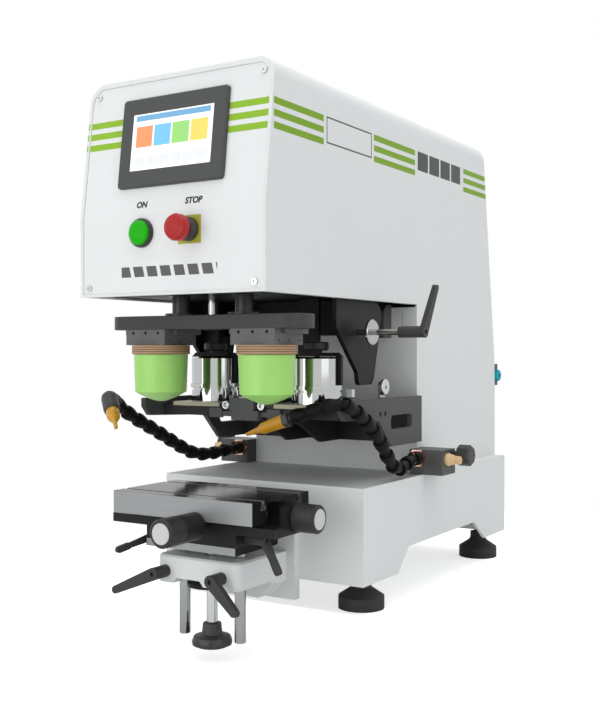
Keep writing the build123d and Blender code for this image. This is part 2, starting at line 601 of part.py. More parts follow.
with BuildPart() as x_knob:
    knob_shape((SADDLE_HALF + 0.5, X_KNOB_Y, X_KNOB_Z), (1, 0, 0), 40, 10.5)
save(x_knob, "x_knob")

# Clamp levers on the knee and on the slides
LEVER_Z = 82.0
LEVER_END = KNEE_FRONT - 34
with BuildPart() as knee_lever_left:
    lever((-60.5, KNEE_FRONT - GAP, LEVER_Z), (-60.5, LEVER_END, LEVER_Z), (-133, -540, 50), 10, 6.4, 9)
save(knee_lever_left, "knee_lever_left")

with BuildPart() as knee_lever_right:
    lever((50, KNEE_FRONT - GAP, LEVER_Z), (50, LEVER_END + 3, LEVER_Z), (102, -543, 44), 10, 6.4, 9)
save(knee_lever_right, "knee_lever_right")

with BuildPart() as slide_lever_left:
    lever((-LIFT_PLATE_HALF - GAP, -494.5, 128.5), (-108, -494.5, 128.5), (-112, -558, 119), 5.8, 5.4, 6, arm_half=3)
save(slide_lever_left, "slide_lever_left")

with BuildPart() as slide_lever_right:
    lever((LIFT_PLATE_HALF + GAP, -490, 145.5), (124, -490, 145.5), (141, -486, 100), 8.5, 6.5, 7, arm_half=4.5)
save(slide_lever_right, "slide_lever_right")

# Carriage: plate, runner blocks, guide bushes and the stroke cylinder
with BuildPart() as carriage_plate:
    slab(-HANGER_IN + RUNNING, HANGER_IN - RUNNING, CARRIAGE_FRONT, SHAFT_Y + 66.5, CARRIAGE_LOW, CARRIAGE_TOP)
    for x in (-GUIDE_X, GUIDE_X):
        rod((x, PAD_Y, 500), (x, PAD_Y, 540), 22.3, Mode.SUBTRACT)
    rod((0, PAD_Y, 500), (0, PAD_Y, 540), 8, Mode.SUBTRACT)
save(carriage_plate, "carriage_plate")

with BuildPart() as runner_blocks:
    for x in (-RAIL_X, RAIL_X):
        for y in (CARRIAGE_FRONT + 15, CUP_Y + 2.5):
            slab(x - RUNNER_HALF, x + RUNNER_HALF, y, y + RUNNER_LENGTH, CARRIAGE_TOP + GAP, RUNNER_TOP)
            slab(x - RAIL_HALF - GAP, x + RAIL_HALF + GAP, y - 1, y + RUNNER_LENGTH + 1,
                 RAIL_LOW - GAP, RUNNER_TOP + 1, Mode.SUBTRACT)
save(runner_blocks, "runner_blocks")

with BuildPart() as guide_bushes:
    for x in (-GUIDE_X, GUIDE_X):
        inner = GUIDE_R + RUNNING
        seat = CARRIAGE_TOP + GAP
        turned([(inner, CARRIAGE_LOW), (22, CARRIAGE_LOW), (22, seat), (26, seat), (26, seat + 6),
                (20, seat + 6), (20, seat + 31), (inner, seat + 31)], (x, PAD_Y, 0), (0, 0, 1))
save(guide_bushes, "guide_bushes")

with BuildPart() as stroke_cylinder:
    seat = CARRIAGE_TOP + GAP
    rod_hole = PISTON_ROD_R + RUNNING
    flange = BORE_R + CYLINDER_WALL + 3
    tube = BORE_R + CYLINDER_WALL
    turned([(rod_hole, seat), (flange, seat), (flange, seat + 14), (tube, seat + 14), (tube, CYLINDER_TOP - 12),
            (flange, CYLINDER_TOP - 12), (flange, CYLINDER_TOP), (0, CYLINDER_TOP), (0, CYLINDER_TOP - 10),
            (BORE_R, CYLINDER_TOP - 10), (BORE_R, seat + 12), (rod_hole, seat + 12)], (0, PAD_Y, 0), (0, 0, 1))
save(stroke_cylinder, "stroke_cylinder")

# Pad bar with its rods
with BuildPart() as pad_bar:
    slab(BAR_SHIFT - BAR_HALF, BAR_SHIFT + BAR_HALF, PAD_Y - BAR_DEPTH / 2, PAD_Y + BAR_DEPTH / 2, BAR_LOW, BAR_HIGH, corner=33)
    chamfer(pad_bar.faces().sort_by(Axis.Z)[-1].edges(), 0.8)
save(pad_bar, "pad_bar")

with BuildPart() as guide_rods:
    for x in (-GUIDE_X, GUIDE_X):
        seat = BAR_HIGH + GAP
        turned([(0, seat), (26, seat), (26, seat + 3.7), (GUIDE_R, seat + 3.7), (GUIDE_R, GUIDE_TOP), (0, GUIDE_TOP)],
               (x, PAD_Y, 0), (0, 0, 1))
save(guide_rods, "guide_rods")

with BuildPart() as piston_rod:
    piston = CYLINDER_TOP - 30
    turned([(0, BAR_HIGH + GAP), (PISTON_ROD_R, BAR_HIGH + GAP), (PISTON_ROD_R, piston), (BORE_R - RUNNING, piston),
            (BORE_R - RUNNING, piston + 12), (0, piston + 12)], (0, PAD_Y, 0), (0, 0, 1))
save(piston_rod, "piston_rod")

with BuildPart() as pad_holders:
    for side in (-1, 1):
        x = side * PAIR_X
        slab(x - 42, x + 39, PAD_Y - 38, PAD_Y + 43, 442.3, BAR_LOW - GAP)
        slab(x - 50, x - 40, PAD_Y - 30, PAD_Y + 48, 459.5, BAR_LOW - GAP)
        slab(x + 37, x + 46, PAD_Y - 16, PAD_Y + 48, 459.5, BAR_LOW - GAP)
        for hole in (-27, -1, 25):
            rod((x + hole, PAD_Y - 40, 462), (x + hole, PAD_Y - 30, 462), 2.6, Mode.SUBTRACT)
        for hole in (-26, 3, 32):
            rod((x + 42, PAD_Y + hole, 449), (x + 34, PAD_Y + hole, 449), 1.8, Mode.SUBTRACT)
save(pad_holders, "pad_holders")

with BuildPart() as pad_bases:
    for side in (-1, 1):
        turned([(0, 427.6), (47.6, 427.6), (48, 431.2), (47.4, 431.3), (48, 434.9), (47.4, 435), (48, 438.6),
                (47.4, 438.7), (48, 442), (0, 442)], (side * PAIR_X, PAD_Y, 0), (0, 0, 1))
save(pad_bases, "pad_bases")

with BuildPart() as pads:
    for side in (-1, 1):
        crown = [(42.3 * n / 8, 349.6 + 16.4 * (n / 8) ** 1.6) for n in range(9)]
        turned(crown + [(44.6, 427.3), (0, 427.3)], (side * PAIR_X, PAD_Y, 0), (0, 0, 1))
save(pads, "pads")

# Ink cups, their bases, brackets, arms, knobs and rail
with BuildPart() as cup_arms:
    for side in (-1, 1):
        x = side * PAIR_X
        side_shape([(CUP_Y + 11 + GAP, 424), (CUP_Y + 27.5, 424), (CUP_Y + 27.5, CARRIAGE_LOW - GAP),
                    (CUP_Y + 20.5, CARRIAGE_LOW - GAP), (CUP_Y + 20.5, 430), (CUP_Y + 11 + GAP, 430)],
                   max(x - 50, -HANGER_IN + GAP), x - 9)
save(cup_arms, "cup_arms")

with BuildPart() as cup_brackets:
    for side in (-1, 1):
        x = side * PAIR_X
        inner = CUP_R + 0.5
        outer = inner + 6
        front_shape([(x - outer, 376.3), (x - inner, 376.3), (x - inner, 419), (x - inner + 5, 424.3),
                     (x + inner - 5, 424.3), (x + inner, 419), (x + inner, 376.3), (x + outer, 376.3),
                     (x + outer, 423.5), (x + outer - 7, 430), (x - outer + 7, 430), (x - outer, 423.5)],
                    CUP_Y - 4, CUP_Y + 3)
        slab(x - inner + 8, x + inner - 8, CUP_Y - 11, CUP_Y + 11, 424.3, 430)
        rod((x, CUP_Y, 420), (x, CUP_Y, 432), 5 + RUNNING, Mode.SUBTRACT)
save(cup_brackets, "cup_brackets")

with BuildPart() as cups:
    for side in (-1, 1):
        turned([(0, 368.3), (CUP_R + 2, 368.3), (CUP_R + 2, 375.7), (CUP_R, CUP_LOW), (CUP_R, 420), (CUP_R - 4, CUP_HIGH),
                (0, CUP_HIGH)],
               (side * PAIR_X, CUP_Y, 0), (0, 0, 1))
        rod((side * PAIR_X, CUP_Y, 418), (side * PAIR_X, CUP_Y, 425), 5 + RUNNING, Mode.SUBTRACT)
save(cups, "cups")

with BuildPart() as cup_frame:
    for side in (-1, 1):
        x = side * PAIR_X
        rod((x, CUP_Y, PLATE_TOP + GAP), (x, CUP_Y, 364), CUP_R)
        rod((x, CUP_Y, 364), (x, CUP_Y, 368), CUP_R - 2)
    slab(-HANGER_IN + RUNNING, HANGER_IN - RUNNING, CUP_Y + 40, CUP_Y + 50, 353, 368)
    for side in (-1, 1):
        x = side * PAIR_X
        slab(x - 18, x + 18, CUP_Y + 29, CUP_Y + 41, 353, 368)
save(cup_frame, "cup_frame")


def cup_knob(x):
    """A pressure knob with its spindle, standing on a cup."""
    turned([(0, 419), (5, 419), (5, 430), (9, 430), (9, 433.5), (17, 433.5), (20, 436), (20, 446), (18, 448), (0, 448)],
           (x, CUP_Y, 0), (0, 0, 1))


with BuildPart() as cup_knob_left:
    cup_knob(-PAIR_X)
save(cup_knob_left, "cup_knob_left")

with BuildPart() as cup_knob_right:
    cup_knob(PAIR_X)
save(cup_knob_right, "cup_knob_right")

# Air blocks beside the column, their fittings and flow-control knobs
with BuildPart() as air_blocks:
    for side in (-1, 1):
        near_x = side * BLOCK_IN
        far_x = side * BLOCK_OUT
        slab(min(near_x, far_x), max(near_x, far_x), BLOCK_FRONT, BLOCK_BACK, BASE_TOP + GAP, BLOCK_TOP)
        rod((far_x - side * 12, -90, 239), (far_x + side * 5, -90, 239), 6.3, Mode.SUBTRACT)
    # the valve block on the column's front, below the head
    side_shape([(COLUMN_FRONT - GAP, 457), (COLUMN_FRONT - 31, 457), (COLUMN_FRONT - 31, 506),
                (COLUMN_FRONT - 20, 517.5), (COLUMN_FRONT - GAP, 517.5)], 62, 126)
save(air_blocks, "air_blocks")

with BuildPart() as hose_fittings:
    for side in (-1, 1):
        with BuildSketch(Plane.XZ.offset(-BLOCK_FRONT + 0.05)) as hexagon:
            with Locations((side * HOSE_X, HOSE_Z)):
                RegularPolygon(17, 6)
        extrude(hexagon.sketch, amount=6)
        rod((side * HOSE_X, BLOCK_FRONT - 5, HOSE_Z), (side * HOSE_X, BLOCK_FRONT - 14, HOSE_Z), 9.5)
save(hose_fittings, "hose_fittings")


def flow_knob(side):
    """A flow-control knob on an air block's outer side."""
    x = side * BLOCK_OUT
    turned([(0, -10), (6.25, -10), (6.25, 0.3), (11, 0.3), (11.6, 5), (9.5, 9), (9, 14), (7.4, 15), (7, 27), (0, 27)],
           (x, -90, 239), (side, 0, 0))


with BuildPart() as flow_knob_left:
    flow_knob(-1)
save(flow_knob_left, "flow_knob_left")

with BuildPart() as flow_knob_right:
    flow_knob(1)
save(flow_knob_right, "flow_knob_right")

with BuildPart() as air_elbows:
    for side in (-1, 1):
        x = side * BLOCK_OUT
        low_x = x + side * 0.05
        rod((low_x, ELBOW_Y, ELBOW_Z), (x + side * 22, ELBOW_Y, ELBOW_Z), 7.5)
        with BuildSketch(Plane.YZ.offset(x + side * 12)) as body:
            with Locations((ELBOW_Y, ELBOW_Z)):
                RegularPolygon(19, 8)
        extrude(body.sketch, amount=side * 24)
        chamfer(air_elbows.faces().filter_by(Axis.X).sort_by(Axis.X)[-1 if side > 0 else 0].edges(), 3)
save(air_elbows, "air_elbows")


# Ball-and-socket hose links along a line of joint centres
def hose_link(start, end):
    """One link: a ball at its start and a flared socket at its end."""
    way = Vector(*end) - Vector(*start)
    length = way.length
    turned([(4.5, -5.5), (7.5, -5.5), (8.6, -2), (8.6, 2), (7.2, 5), (7.2, 6.5), (9, 8), (HOSE_R, length - 5.5),
            (HOSE_R, length + 1.5), (HOSE_R - 1.4, length + 3.2), (9.9, length + 3.2), (10.1, length - 4),
            (8.2, length - 7.5), (4.5, length - 7.5)], start, way)


RIGHT_HOSE = [
    (HOSE_X, -132, HOSE_Z), (198, -162, 236), (201, -193, 230), (203, -222, 236), (204, -247, 256),
    (204.5, -272, 281), (204.5, -305, 308), (204.5, -340, 328), (204, -368, 342), (196, -389, 350),
    (175, -395, 346), (150, -394, 338), (130, -392.5, 332.5), (112, -390.3, 327.6),
]
LEFT_HOSE = [
    (-HOSE_X, -132, HOSE_Z), (-197, -175, 238), (-200, -215, 236), (-204, -250, 241), (-205.5, -280, 253),
    (-206, -317, 271), (-206, -372, 297), (-205.5, -427, 323), (-204, -461, 343),
]
LEFT_ELBOW = (-201.5, -482, 352)
LEFT_TIP = (-154, -518, 307)
RIGHT_COLLAR = (106, -390, 325.6)
RIGHT_TIP = (14, -385.5, 294.5)


def hose(centres):
    """Every link of a hose, spaced evenly along its centre line."""
    with BuildLine(mode=Mode.PRIVATE) as run:
        Spline(*centres)
    line = run.edges()[0]
    count = round(line.length / LINK)
    joints = [line.position_at(n / count) for n in range(count + 1)]
    for start, end in zip(joints, joints[1:]):
        hose_link(start, end)


with BuildPart() as hoses:
    for x in (-HOSE_X, HOSE_X):
        rod((x, BLOCK_FRONT - 6.5, HOSE_Z), (x, -129.5, HOSE_Z), HOSE_R)
        rod((x, BLOCK_FRONT, HOSE_Z), (x, -140, HOSE_Z), 9.8, Mode.SUBTRACT)
    hose(RIGHT_HOSE)
    hose(LEFT_HOSE)
save(hoses, "hoses")


def nozzle(start, end):
    """A hexagonal collar at start and a tapering nozzle that ends at end."""
    way = (Vector(*end) - Vector(*start)).normalized()
    turned([(0, -6), (8.3, -6), (8.3, 5), (0, 5)], start, way)
    with BuildSketch(Plane(origin=Vector(*start) + way * 4, z_dir=way)) as hexagon:
        RegularPolygon(13, 6)
    extrude(hexagon.sketch, amount=11)
    reach = (Vector(*end) - Vector(*start)).length
    turned([(0, 14), (11.6, 14), (9.8, reach - 36), (5.5, reach - 26), (3, reach), (0, reach)], start, way)


with BuildPart() as nozzle_right:
    nozzle(RIGHT_COLLAR, RIGHT_TIP)
save(nozzle_right, "nozzle_right")

with BuildPart() as elbow_left:
    inlet = Vector(*LEFT_ELBOW) - Vector(*LEFT_HOSE[-1])
    outlet = Vector(*LEFT_TIP) - Vector(*LEFT_ELBOW)
    turned([(0, -3), (7.6, -3), (7.6, 5), (13, 5), (14, 8), (14, inlet.length), (0, inlet.length)],
           LEFT_HOSE[-1], inlet)
    turned([(0, -14), (8, -12), (13, -5), (14, 0), (14, 27), (12.5, 33), (0, 33)], LEFT_ELBOW, outlet)
save(elbow_left, "elbow_left")

with BuildPart() as nozzle_left:
    turned([(0, 33.3), (11.2, 33.3), (11.2, 42), (10.4, 49), (5.4, 58), (3.6, 61), (3, outlet.length), (0, outlet.length)],
           LEFT_ELBOW, outlet)
save(nozzle_left, "nozzle_left")

# Air inlet on the housing's back: a block with a spigot, and a push-in fitting on its right side
INLET_SIDE = 176.0
with BuildPart() as air_inlet:
    slab(INLET_X - 20, INLET_SIDE, BACK + 0.05, BACK + 21, INLET_Z - 21, INLET_Z + 25)
    rod((INLET_X, BACK + 1, INLET_Z), (INLET_X, BACK - 10, INLET_Z), 8)
    rod((INLET_SIDE - 12, BACK + 13.5, INLET_Z), (INLET_SIDE + 1, BACK + 13.5, INLET_Z), 9 + RUNNING, Mode.SUBTRACT)
    turned([(4, -8), (9, -8), (9, RUNNING), (12.3, RUNNING), (12.3, 5.5), (11, 7), (4, 7)],
           (INLET_SIDE, BACK + 13.5, INLET_Z), (1, 0, 0))
save(air_inlet, "air_inlet")
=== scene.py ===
import math

import bmesh
import bpy
from mathutils import Matrix, Vector


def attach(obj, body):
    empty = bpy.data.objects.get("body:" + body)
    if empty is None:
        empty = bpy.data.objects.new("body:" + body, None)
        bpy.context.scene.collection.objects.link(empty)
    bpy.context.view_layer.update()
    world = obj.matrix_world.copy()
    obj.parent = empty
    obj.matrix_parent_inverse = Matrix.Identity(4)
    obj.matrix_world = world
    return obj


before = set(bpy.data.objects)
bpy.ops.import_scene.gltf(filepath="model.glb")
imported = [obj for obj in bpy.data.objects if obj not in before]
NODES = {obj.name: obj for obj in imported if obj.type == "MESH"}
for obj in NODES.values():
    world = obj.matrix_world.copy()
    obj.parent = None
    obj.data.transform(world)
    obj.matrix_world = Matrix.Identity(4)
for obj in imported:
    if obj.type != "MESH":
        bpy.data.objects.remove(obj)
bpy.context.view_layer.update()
MM = 0.001


# Shader graphs written as expressions

class Value:
    """A number that varies over a surface; arithmetic on it adds Math nodes."""

    def __init__(self, finish, socket):
        self.finish = finish
        self.socket = socket

    def _join(self, operation, first, second=None):
        inputs = {0: first} if second is None else {0: first, 1: second}
        node = self.finish.node("ShaderNodeMath", {"operation": operation}, inputs)
        return Value(self.finish, node.outputs[0])

    def __add__(self, other):
        return self._join("ADD", self, other)

    def __radd__(self, other):
        return self._join("ADD", other, self)

    def __sub__(self, other):
        return self._join("SUBTRACT", self, other)

    def __rsub__(self, other):
        return self._join("SUBTRACT", other, self)

    def __mul__(self, other):
        return self._join("MULTIPLY", self, other)

    def __rmul__(self, other):
        return self._join("MULTIPLY", other, self)

    def __truediv__(self, other):
        return self._join("DIVIDE", self, other)

    def __gt__(self, other):
        return self._join("GREATER_THAN", self, other)

    def __lt__(self, other):
        return self._join("LESS_THAN", self, other)

    def __abs__(self):
        return self._join("ABSOLUTE", self)

    def __mod__(self, other):
        return self._join("FLOORED_MODULO", self, other)

    def __pow__(self, other):
        return self._join("POWER", self, other)

    def between(self, low, high):
        return (self > low) * (self < high)

    def either(self, other):
        return self._join("MAXIMUM", self, other)

    def capped(self, most):
        return self._join("MINIMUM", self, most)


class Finish:
    """One procedural material."""

    def __init__(self, name):
        self.material = bpy.data.materials.new(name)
        self.material.use_nodes = True
        self.tree = self.material.node_tree
        self.shader = self.tree.nodes["Principled BSDF"]
        coordinates = self.node("ShaderNodeTexCoord")
        self.place = coordinates.outputs["Object"]
        split = self.node("ShaderNodeSeparateXYZ", {}, {0: self.place})
        self.x, self.y, self.z = (Value(self, split.outputs[n]) for n in range(3))

    def node(self, kind, settings=None, inputs=None):
        made = self.tree.nodes.new(kind)
        for key, value in (settings or {}).items():
            if key == "stops":
                ramp = made.color_ramp
                for n, (position, colour) in enumerate(value):
                    stop = ramp.elements[n] if n < 2 else ramp.elements.new(position)
                    stop.position = position
                    stop.color = (*colour, 1)
            else:
                setattr(made, key, value)
        for key, value in (inputs or {}).items():
            self.feed(made.inputs[key], value)
        return made

    def feed(self, socket, value):
        if isinstance(value, Value):
            self.tree.links.new(value.socket, socket)
        elif isinstance(value, bpy.types.NodeSocket):
            self.tree.links.new(value, socket)
        elif isinstance(value, (tuple, list)) and len(value) == 3 and socket.type == "RGBA":
            socket.default_value = (*value, 1)
        else:
            socket.default_value = value

    def scaled(self, x, y, z):
        node = self.node("ShaderNodeMapping", {}, {"Vector": self.place, "Scale": (x, y, z)})
        return node.outputs[0]

    def noise(self, scale, detail=2.0, roughness=0.5, place=None):
        node = self.node("ShaderNodeTexNoise", {}, {
            "Vector": place or self.place, "Scale": scale, "Detail": detail, "Roughness": roughness})
        return Value(self, node.outputs[0])

    def mix(self, amount, first, second):
        node = self.node("ShaderNodeMix", {"data_type": "RGBA"}, {0: amount, 6: first, 7: second})
        return node.outputs[2]

    def bump(self, height, strength, distance=0.001):
        node = self.node("ShaderNodeBump", {}, {"Strength": strength, "Distance": distance, "Height": height})
        self.feed(self.shader.inputs["Normal"], node.outputs[0])

    def set(self, **values):
        names = {"colour": "Base Color", "roughness": "Roughness", "metallic": "Metallic",
                 "coat": "Coat Weight", "specular": "Specular IOR Level", "glow": "Emission Color",
                 "glow_strength": "Emission Strength", "soft": "Subsurface Weight",
                 "soft_scale": "Subsurface Scale"}
        for key, value in values.items():
            self.feed(self.shader.inputs[names[key]], value)
        return self


def shade(colour, factor):
    """A colour made lighter or darker."""
    return tuple(min(1.0, part * factor) for part in colour)


def wear(finish, colour, spread=0.08, scale=18):
    """The colour with slight handling variation, and the roughness that goes with it."""
    cloud = finish.noise(scale, 4, 0.6)
    fine = finish.noise(scale * 9, 2)
    amount = cloud * 0.7 + fine * 0.3
    return finish.mix(amount, shade(colour, 1 - spread), shade(colour, 1 + spread)), amount


def plain_plastic(name, colour, roughness=0.45, grain=2600, depth=0.12, spread=0.08, shine=0.3):
    """Moulded plastic with a fine spark-eroded texture."""
    finish = Finish(name)
    tone, amount = wear(finish, colour, spread)
    finish.set(colour=tone, roughness=amount * 0.14 + (roughness - 0.07), specular=shine)
    finish.bump(finish.noise(grain, 2), depth, 0.0004)
    return finish


def powder_coat(name, colour, roughness=0.42):
    """Powder coat with faint orange peel."""
    finish = Finish(name)
    tone, amount = wear(finish, colour, 0.025, 7)
    finish.set(colour=tone, roughness=amount * 0.1 + (roughness - 0.05), specular=0.2)
    finish.bump(finish.noise(420, 3, 0.55), 0.06, 0.0005)
    return finish, tone


def ground_metal(name, colour, roughness, along=(1, 1, 1), depth=0.05):
    """Ground or brushed metal, with its lines drawn out by the scale."""
    finish = Finish(name)
    lines = finish.noise(1, 4, 0.7, finish.scaled(*along))
    cloud = finish.noise(30, 3)
    finish.set(colour=finish.mix(lines, shade(colour, 0.9), shade(colour, 1.08)), metallic=1.0,
               roughness=cloud * 0.08 + lines * 0.1 + (roughness - 0.09))
    finish.bump(lines, depth, 0.0003)
    return finish


def polished(name, colour=(0.78, 0.79, 0.8), roughness=0.07):
    """Hard chrome or polished steel with faint wipe marks."""
    finish = Finish(name)
    smear = finish.noise(26, 4, 0.65)
    fine = finish.noise(900, 2)
    finish.set(colour=finish.mix(smear, shade(colour, 0.94), shade(colour, 1.04)), metallic=1.0,
               roughness=smear * 0.06 + fine * 0.03 + (roughness - 0.045))
    finish.bump(fine, 0.015, 0.0002)
    return finish


# Colours

WHITE = (0.80, 0.81, 0.805)
GREEN = (0.295, 0.52, 0.033)
# The side stripes' green is painted shade: the same green as the front's, made darker where the sides fall in
# shade.
SHADED_SIDE_GREEN = (0.215, 0.385, 0.018)
INK = (0.075, 0.078, 0.08)
DASH_INK = (0.12, 0.12, 0.125)
BLACK = (0.012, 0.012, 0.012)
KNOB = (0.045, 0.041, 0.039)

# The housing's outline, in metres

FRONT_Y = -0.5745
FRONT_LEAN = 0.12414
LEAN_START = 0.643
BACK_Y = 0.262
BACK_LEAN = 0.1451
HEAD_TOP = 0.8605
SKIN = 0.0016
INNER_HALF = 0.1765
SIDE_X = 0.1776
ROUND_X = 0.148
ROUND_Z = 0.8305
INNER_ROUND = 0.0285

# The printed graphics in millimetres: three stripes, a blank frame and plain blocks

STRIPE_TOP = 798.6
STRIPE_PITCH = 18.0
STRIPE_TALL = 10.2


def box_mask(first, second, a0, a1, b0, b1):
    """1 inside a rectangle, given in millimetres."""
    return first.between(a0 * MM, a1 * MM) * second.between(b0 * MM, b1 * MM)


def stripe_mask(finish):
    """1 on the three level stripes."""
    down = (STRIPE_TOP * MM - finish.z) % (STRIPE_PITCH * MM)
    lowest = STRIPE_TOP - 2 * STRIPE_PITCH - STRIPE_TALL
    return (down < STRIPE_TALL * MM) * finish.z.between(lowest * MM, STRIPE_TOP * MM)


def hollow_shade_mask(finish):
    """1 on the housing's inner faces, a skin's thickness behind the outer ones; these faces are painted
    black, painted shade under the head.
    """
    front = (finish.z - LEAN_START).either(0.0) * FRONT_LEAN + FRONT_Y
    back = (HEAD_TOP - finish.z) * BACK_LEAN + BACK_Y
    across = (abs(finish.x) - ROUND_X).either(0.0)
    up = (finish.z - ROUND_Z).either(0.0)
    inside = (across * across + up * up) < INNER_ROUND ** 2
    inside = inside * (abs(finish.x) < INNER_HALF)
    inside = inside * (finish.y > front + SKIN) * (finish.y < back - SKIN)
    return inside * finish.z.between(0.5213, 0.858) * (finish.y < 0.235)


def housing_paint():
    finish, tone = powder_coat("white powder coat, housing", WHITE)
    side = abs(finish.x) > SIDE_X
    runs = finish.y.between(-0.5525, -0.4125)
    for low, high in ((-246.5, -86.5), (136.5, 258.5)):
        runs = runs.either(finish.y.between(low * MM, high * MM))
    green = side * runs * stripe_mask(finish)
    outer = box_mask(finish.y, finish.z, -403.5, -254.5, 756.6, 798.6)
    inner = box_mask(finish.y, finish.z, -401.0, -257.0, 759.1, 796.1)
    ink = side * (outer - inner)
    blocks = box_mask(finish.y, finish.z, -75.5, 126.5, 764, 798.6)
    gaps = ((finish.y + 0.0755) % 0.0505) < 0.0445
    ink = ink.either(side * blocks * gaps)
    edge = finish.x.between(-SIDE_X, -0.1745) * (finish.y < -0.54) * stripe_mask(finish)
    # The side stripes take the darker green, which is painted shade on the sides.
    tone = finish.mix(green, tone, SHADED_SIDE_GREEN)
    tone = finish.mix(edge, tone, GREEN)
    tone = finish.mix(ink, tone, INK)
    # The housing's inner faces are painted black: painted shade inside the head.
    finish.set(colour=finish.mix(hollow_shade_mask(finish), tone, BLACK))
    return finish


def panel_paint():
    finish, tone = powder_coat("white powder coat, front panel", (0.83, 0.84, 0.835))
    green = (abs(finish.x) > 0.098) * (abs(finish.x) < 0.1715) * stripe_mask(finish)
    tone = finish.mix(green, tone, GREEN)
    rows = finish.z.between(0.5465, 0.5625) * (abs(finish.x) < 0.0925)
    dashes = ((finish.x + 0.0925 + finish.z * 0.25 - 0.137) % 0.0265) < 0.0195
    finish.set(colour=finish.mix(rows * dashes, tone, DASH_INK))
    return finish


def screen_face():
    """A plain control screen: a header bar, four tiles in a row and a row of keys."""
    finish = Finish("lit control screen")
    glow = finish.mix(finish.noise(9, 2), (0.86, 0.88, 0.9), (0.93, 0.94, 0.95))
    header = finish.z.between(0.7885, 0.7975) * (abs(finish.x) < 0.072)
    glow = finish.mix(header, glow, (0.09, 0.30, 0.52))
    in_tile = ((finish.x + 0.0700) % 0.0355) < 0.0325
    tile = in_tile * finish.z.between(0.7470, 0.7800) * (abs(finish.x) < 0.0715)
    tile_colours = [(-0.070, (0.75, 0.22, 0.05)), (-0.0345, (0.10, 0.42, 0.68)),
                    (0.001, (0.22, 0.55, 0.10)), (0.0365, (0.80, 0.55, 0.06))]
    for left, colour in tile_colours:
        glow = finish.mix(tile * finish.x.between(left - 0.001, left + 0.0335), glow, colour)
    in_key = ((finish.x + 0.0700) % 0.0237) < 0.0207
    key = in_key * finish.z.between(0.7180, 0.7320) * (abs(finish.x) < 0.0705)
    glow = finish.mix(key, glow, (0.62, 0.65, 0.68))
    finish.set(colour=glow, roughness=0.12, glow=glow, glow_strength=0.35, coat=0.4)
    return finish


def banded_wood():
    """Laminated wooden pad base: level layers with dark glue lines."""
    finish = Finish("laminated pad base")
    grain = finish.noise(1, 5, 0.7, finish.scaled(90, 90, 900))
    layer = ((finish.z - 0.4276) % 0.00368) < 0.0010
    tone = finish.mix(grain, (0.36, 0.20, 0.10), (0.56, 0.36, 0.20))
    finish.set(colour=finish.mix(layer, tone, (0.10, 0.045, 0.022)), roughness=grain * 0.2 + 0.35)
    finish.bump(grain * 0.4 - layer, 0.2, 0.0005)
    return finish


def silicone():
    """Pad silicone: soft green with a faint bloom of oil."""
    finish = Finish("green pad silicone")
    bloom = finish.noise(22, 4, 0.6)
    tone = finish.mix(bloom, (0.36, 0.70, 0.15), (0.42, 0.78, 0.20))
    finish.set(colour=tone, roughness=bloom * 0.12 + 0.28, soft=0.25, soft_scale=0.012)
    finish.shader.inputs["Subsurface Radius"].default_value = (0.6, 1.0, 0.3)
    finish.bump(finish.noise(500, 2), 0.02, 0.0003)
    return finish


def screw_and_wheel():
    """Steel screw above the hub, moulded wheel below it."""
    finish = Finish("lift screw and handwheel")
    cloud = finish.noise(35, 4, 0.6)
    steel = finish.z > 0.0004
    tone = finish.mix(steel, finish.mix(cloud, shade(KNOB, 0.85), shade(KNOB, 1.2)),
                      finish.mix(cloud, (0.66, 0.67, 0.68), (0.75, 0.76, 0.77)))
    finish.set(colour=tone, metallic=steel, roughness=0.42 - steel * 0.28 + cloud * 0.08)
    finish.bump(finish.noise(2400, 2) * (1 - steel), 0.15, 0.0004)
    return finish


def nozzle_plastic(name, collar=False):
    """Orange moulded nozzle; the right one has a dark hexagonal collar."""
    finish = Finish(name)
    tone, amount = wear(finish, (0.62, 0.30, 0.008), 0.12, 40)
    if collar:
        along = (finish.x - 0.106) * -0.9463 + (finish.y + 0.39) * 0.0463 + (finish.z - 0.3256) * -0.3199
        tone = finish.mix(along < 0.0152, tone, (0.035, 0.034, 0.034))
    finish.set(colour=tone, roughness=amount * 0.14 + 0.26, coat=0.3)
    finish.bump(finish.noise(900, 2), 0.05, 0.0004)
    return finish


white_coat, _ = powder_coat("white powder coat", WHITE)
bed_coat = plain_plastic("dark grey bed paint", (0.032, 0.032, 0.031), 0.45, 700, 0.06, shine=0.15)
block_coat = plain_plastic("dark grey block paint", (0.098, 0.098, 0.096), 0.45, 700, 0.06, shine=0.2)
side_coat = plain_plastic("dark grey side plates", (0.085, 0.085, 0.084), 0.45, 700, 0.05, shine=0.2)
clamp_coat = plain_plastic("grey clamp paint", (0.085, 0.087, 0.088), 0.42, 900, 0.05, shine=0.25)
bar_coat = plain_plastic("dark anodised pad bar", (0.058, 0.058, 0.055), 0.4, 1500, 0.05, shine=0.2)
holder_coat = plain_plastic("grey anodised holders", (0.13, 0.13, 0.13), 0.38, 1500, 0.05, shine=0.25)
rod_coat = plain_plastic("dark guide rods", (0.03, 0.03, 0.03), 0.25, 1500, 0.03)
black_oxide = plain_plastic("black oxide steel", BLACK, 0.4, 900, 0.04, shine=0.15)
saddle_coat = plain_plastic("black anodised slides", (0.018, 0.018, 0.018), 0.36, 1500, 0.05, shine=0.15)
knob_plastic = plain_plastic("black knob plastic", (0.034, 0.031, 0.030), 0.4, 2600, 0.1, shine=0.25)
lever_plastic = plain_plastic("dark lever coating", (0.048, 0.045, 0.044), 0.42, 1800, 0.16, shine=0.25)
hose_plastic = plain_plastic("black hose links", (0.0075, 0.0078, 0.0065), 0.5, 1800, 0.08, shine=0.12)
elbow_plastic = plain_plastic("grey fitting plastic", (0.055, 0.055, 0.054), 0.42, 1800, 0.08, shine=0.25)
